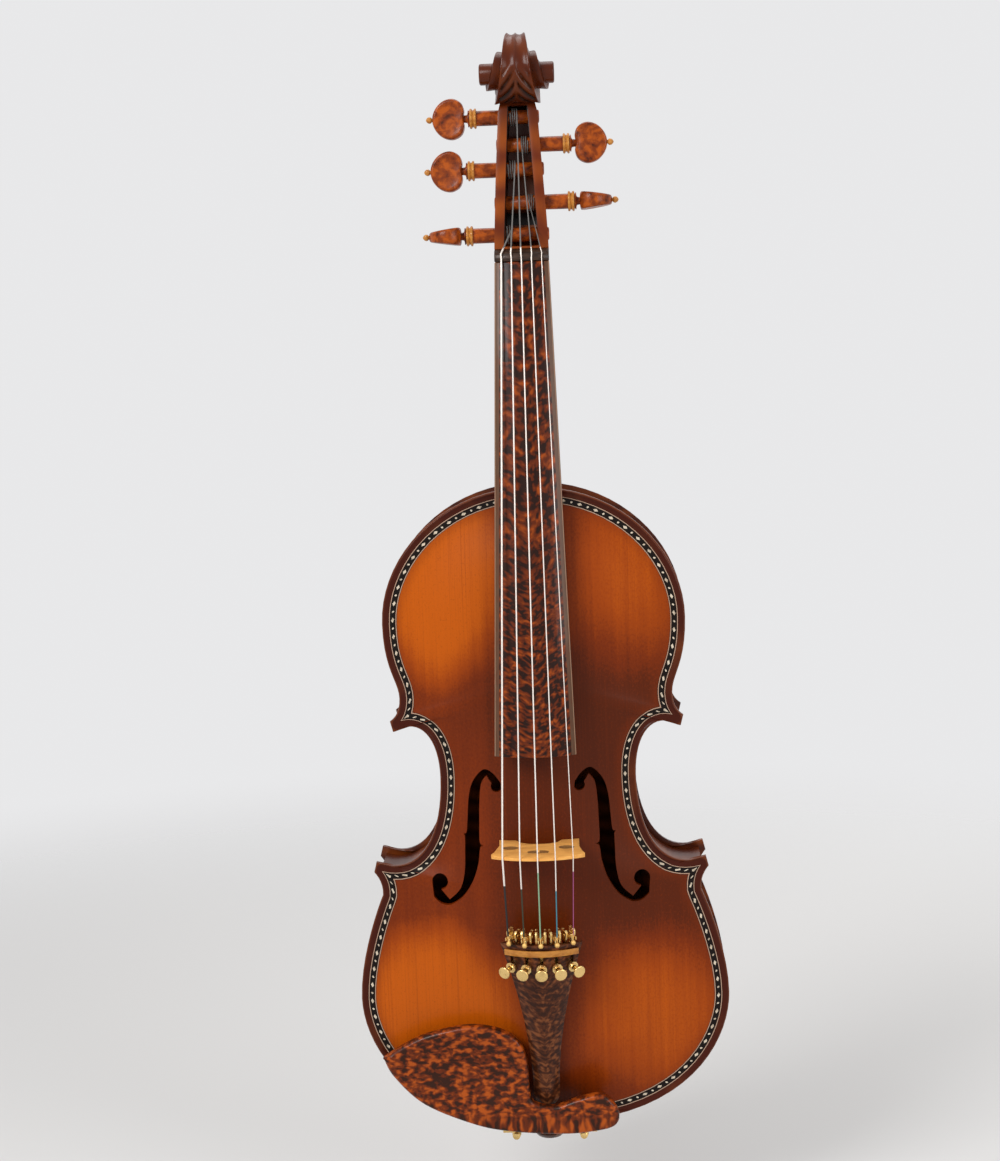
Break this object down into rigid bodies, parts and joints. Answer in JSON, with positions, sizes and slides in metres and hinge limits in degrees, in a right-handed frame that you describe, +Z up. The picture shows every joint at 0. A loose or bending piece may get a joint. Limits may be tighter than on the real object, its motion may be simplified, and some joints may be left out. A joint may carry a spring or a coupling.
{
  "type": "five-string violin",
  "caption": "Five-string violin hanging upright, with snakewood fittings, fine tuners, a chinrest and an inlaid edge",
  "frame": {"origin": "hanging point under the scroll, between the two prongs of a fork that holds the violin up", "axes": "+X to the right of a viewer who faces the front plate, +Y from the front plate to the back plate, +Z up to the scroll"},
  "size_m": [0.2068, 0.0962, 0.6187],
  "materials": {
    "varnished_spruce": "gloss oil varnish",
    "varnished_maple": "gloss oil varnish",
    "plain_spruce": "unfinished",
    "snakewood": "polished",
    "ebony": "polished",
    "boxwood": "polished",
    "bridge_maple": "satin",
    "gilt": "polished",
    "steel": "wound",
    "black_cord": "matte",
    "cork": "matte"
  },
  "bodies": {
    "violin": {"front_plate": "varnished_spruce", "back_plate": "varnished_maple", "lower_rib": "varnished_maple", "waist_rib_bass": "varnished_maple", "waist_rib_treble": "varnished_maple", "upper_rib_bass": "varnished_maple", "upper_rib_treble": "varnished_maple", "neck_and_scroll": "varnished_maple", "end_block": "plain_spruce", "neck_block": "plain_spruce", "lower_corner_block_bass": "plain_spruce", "lower_corner_block_treble": "plain_spruce", "upper_corner_block_bass": "plain_spruce", "upper_corner_block_treble": "plain_spruce", "bass_bar": "plain_spruce", "sound_post": "plain_spruce", "fingerboard": "snakewood", "tailpiece": "snakewood", "end_button": "snakewood", "chinrest": "snakewood", "nut": "ebony", "saddle": "ebony", "tailpiece_fret": "boxwood", "bridge": "bridge_maple", "clamp_yoke": "gilt", "tuner_frame_c": "gilt", "tuner_frame_g": "gilt", "tuner_frame_d": "gilt", "tuner_frame_a": "gilt", "tuner_frame_e": "gilt", "string_c": "steel", "string_g": "steel", "string_d": "steel", "string_a": "steel", "string_e": "steel", "tail_gut": "black_cord", "chinrest_cork": "cork"},
    "peg_c_body": {"peg_c": "snakewood", "peg_collar_c": "boxwood"},
    "peg_e_body": {"peg_e": "snakewood", "peg_collar_e": "boxwood"},
    "peg_g_body": {"peg_g": "snakewood", "peg_collar_g": "boxwood"},
    "peg_a_body": {"peg_a": "snakewood", "peg_collar_a": "boxwood"},
    "peg_d_body": {"peg_d": "snakewood", "peg_collar_d": "boxwood"},
    "tuner_screw_c_body": {"tuner_screw_c": "gilt"},
    "tuner_lever_c_body": {"tuner_lever_c": "gilt"},
    "tuner_screw_g_body": {"tuner_screw_g": "gilt"},
    "tuner_lever_g_body": {"tuner_lever_g": "gilt"},
    "tuner_screw_d_body": {"tuner_screw_d": "gilt"},
    "tuner_lever_d_body": {"tuner_lever_d": "gilt"},
    "tuner_screw_a_body": {"tuner_screw_a": "gilt"},
    "tuner_lever_a_body": {"tuner_lever_a": "gilt"},
    "tuner_screw_e_body": {"tuner_screw_e": "gilt"},
    "tuner_lever_e_body": {"tuner_lever_e": "gilt"},
    "clamp_barrel_bass_body": {"clamp_barrel_bass": "gilt"},
    "clamp_barrel_treble_body": {"clamp_barrel_treble": "gilt"},
    "clamp_foot_body": {"clamp_foot": "gilt"}
  },
  "joints": [
    {"name": "peg_c_turn", "type": "hinge", "parent": "violin", "child": "peg_c_body", "pos_m": [0, 0.0121, -0.072], "axis": [1, 0, 0], "range_deg": [-360, 360]},
    {"name": "peg_e_turn", "type": "hinge", "parent": "violin", "child": "peg_e_body", "pos_m": [0, 0.01315, -0.055], "axis": [1, 0, 0], "range_deg": [-360, 360]},
    {"name": "peg_g_turn", "type": "hinge", "parent": "violin", "child": "peg_g_body", "pos_m": [0, 0.01427, -0.037], "axis": [1, 0, 0], "range_deg": [-360, 360]},
    {"name": "peg_a_turn", "type": "hinge", "parent": "violin", "child": "peg_a_body", "pos_m": [0, 0.01507, -0.024], "axis": [1, 0, 0], "range_deg": [-360, 360]},
    {"name": "peg_d_turn", "type": "hinge", "parent": "violin", "child": "peg_d_body", "pos_m": [0, 0.016, -0.009], "axis": [1, 0, 0], "range_deg": [-360, 360]},
    {"name": "tuner_c_screw", "type": "slide", "parent": "violin", "child": "tuner_screw_c_body", "axis": [0.515, 0.8385, 0.1782], "range_m": [-0.0018, 0.0022]},
    {"name": "tuner_c_lever", "type": "hinge", "parent": "violin", "child": "tuner_lever_c_body", "pos_m": [-0.01491, -0.03267, -0.45065], "axis": [0.8572, -0.5037, -0.1071], "range_deg": [-6.2, 7.6], "deforming": ["string_c"]},
    {"name": "tuner_g_screw", "type": "slide", "parent": "violin", "child": "tuner_screw_g_body", "axis": [0.2877, 0.9368, 0.1991], "range_m": [-0.0018, 0.0022]},
    {"name": "tuner_g_lever", "type": "hinge", "parent": "violin", "child": "tuner_lever_g_body", "pos_m": [-0.00738, -0.03608, -0.4506], "axis": [0.9577, -0.2814, -0.0598], "range_deg": [-6.2, 7.6], "deforming": ["string_g"]},
    {"name": "tuner_d_screw", "type": "slide", "parent": "violin", "child": "tuner_screw_d_body", "axis": [0, 0.9781, 0.2079], "range_m": [-0.0018, 0.0022]},
    {"name": "tuner_d_lever", "type": "hinge", "parent": "violin", "child": "tuner_lever_d_body", "pos_m": [0, -0.03719, -0.45058], "axis": [1, 0, 0], "range_deg": [-6.2, 7.6], "deforming": ["string_d"]},
    {"name": "tuner_a_screw", "type": "slide", "parent": "violin", "child": "tuner_screw_a_body", "axis": [-0.2877, 0.9368, 0.1991], "range_m": [-0.0018, 0.0022]},
    {"name": "tuner_a_lever", "type": "hinge", "parent": "violin", "child": "tuner_lever_a_body", "pos_m": [0.00738, -0.03608, -0.4506], "axis": [0.9577, 0.2814, 0.0598], "range_deg": [-6.2, 7.6], "deforming": ["string_a"]},
    {"name": "tuner_e_screw", "type": "slide", "parent": "violin", "child": "tuner_screw_e_body", "axis": [-0.515, 0.8385, 0.1782], "range_m": [-0.0018, 0.0022]},
    {"name": "tuner_e_lever", "type": "hinge", "parent": "violin", "child": "tuner_lever_e_body", "pos_m": [0.01491, -0.03267, -0.45065], "axis": [0.8572, 0.5037, 0.1071], "range_deg": [-6.2, 7.6], "deforming": ["string_e"]},
    {"name": "clamp_barrel_bass_turn", "type": "hinge", "parent": "violin", "child": "clamp_barrel_bass_body", "pos_m": [-0.018, 0, -0.5731], "axis": [0, 1, 0], "range_deg": [0, 1440]},
    {"name": "clamp_barrel_treble_turn", "type": "hinge", "parent": "violin", "child": "clamp_barrel_treble_body", "pos_m": [0.02, 0, -0.5731], "axis": [0, 1, 0], "range_deg": [0, 1440]},
    {"name": "clamp_foot_slide", "type": "slide", "parent": "violin", "child": "clamp_foot_body", "axis": [0, 1, 0], "range_m": [0, 0.004]}
  ],
  "couplings": [
    {"joint": "tuner_c_lever", "follows": "tuner_c_screw", "rad_per_m": 54.645},
    {"joint": "tuner_g_lever", "follows": "tuner_g_screw", "rad_per_m": 54.645},
    {"joint": "tuner_d_lever", "follows": "tuner_d_screw", "rad_per_m": 54.645},
    {"joint": "tuner_a_lever", "follows": "tuner_a_screw", "rad_per_m": 54.645},
    {"joint": "tuner_e_lever", "follows": "tuner_e_screw", "rad_per_m": 54.645},
    {"joint": "clamp_barrel_bass_turn", "follows": "clamp_foot_slide", "rad_per_m": 6283},
    {"joint": "clamp_barrel_treble_turn", "follows": "clamp_foot_slide", "rad_per_m": 6283}
  ]
}
